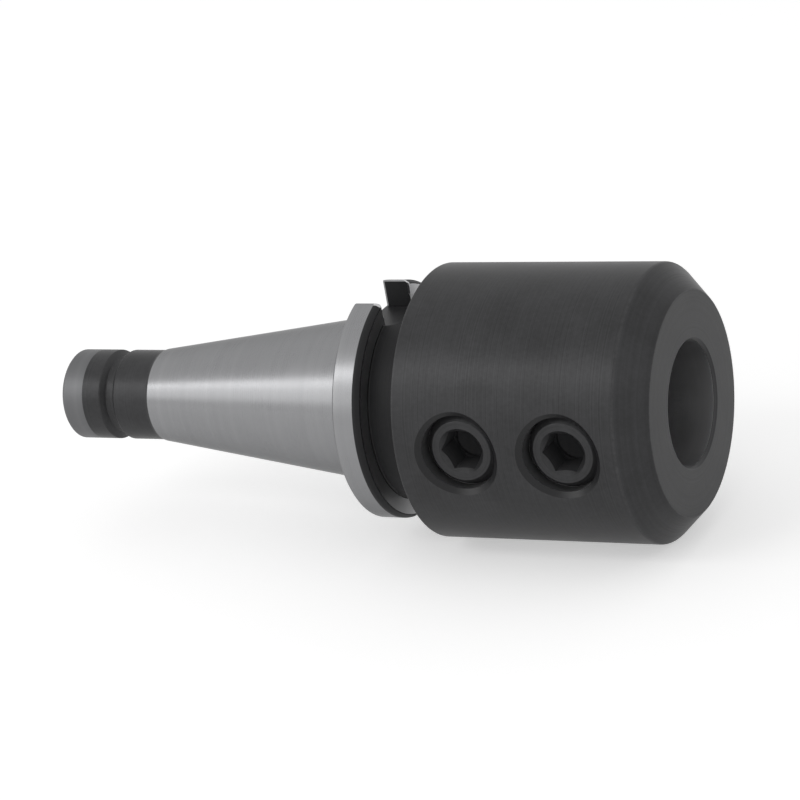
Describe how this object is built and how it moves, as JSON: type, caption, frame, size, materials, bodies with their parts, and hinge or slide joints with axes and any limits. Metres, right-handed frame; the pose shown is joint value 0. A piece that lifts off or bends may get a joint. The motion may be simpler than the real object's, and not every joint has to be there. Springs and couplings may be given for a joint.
{
  "type": "side lock end mill holder",
  "caption": "Steep taper tool holder with a drive flange and a thick cylindrical body; hexagon socket screws in its side clamp a straight shank in the bore.",
  "frame": {"origin": "centre of the gauge plane, where the steep taper has its largest diameter, on the tool's axis", "axes": "+X along the tool's axis and out of the nose, +Z through the middle of one driving slot, -Y the way the clamping screws unscrew"},
  "size_m": [0.182, 0.072, 0.072],
  "materials": {
    "blackened_steel": "black oxide, with a ground bright taper, flange rim and pilot land",
    "screw_steel": "black oxide"
  },
  "bodies": {
    "holder": {"holder_body": "blackened_steel"},
    "front_screw": {"clamp_screw_front": "screw_steel"},
    "rear_screw": {"clamp_screw_rear": "screw_steel"}
  },
  "joints": [
    {"name": "front_screw_travel", "type": "slide", "parent": "holder", "child": "front_screw", "axis": [0, -1, 0], "range_m": [-0.004, 0.018]},
    {"name": "rear_screw_travel", "type": "slide", "parent": "holder", "child": "rear_screw", "axis": [0, -1, 0], "range_m": [-0.004, 0.018]}
  ]
}
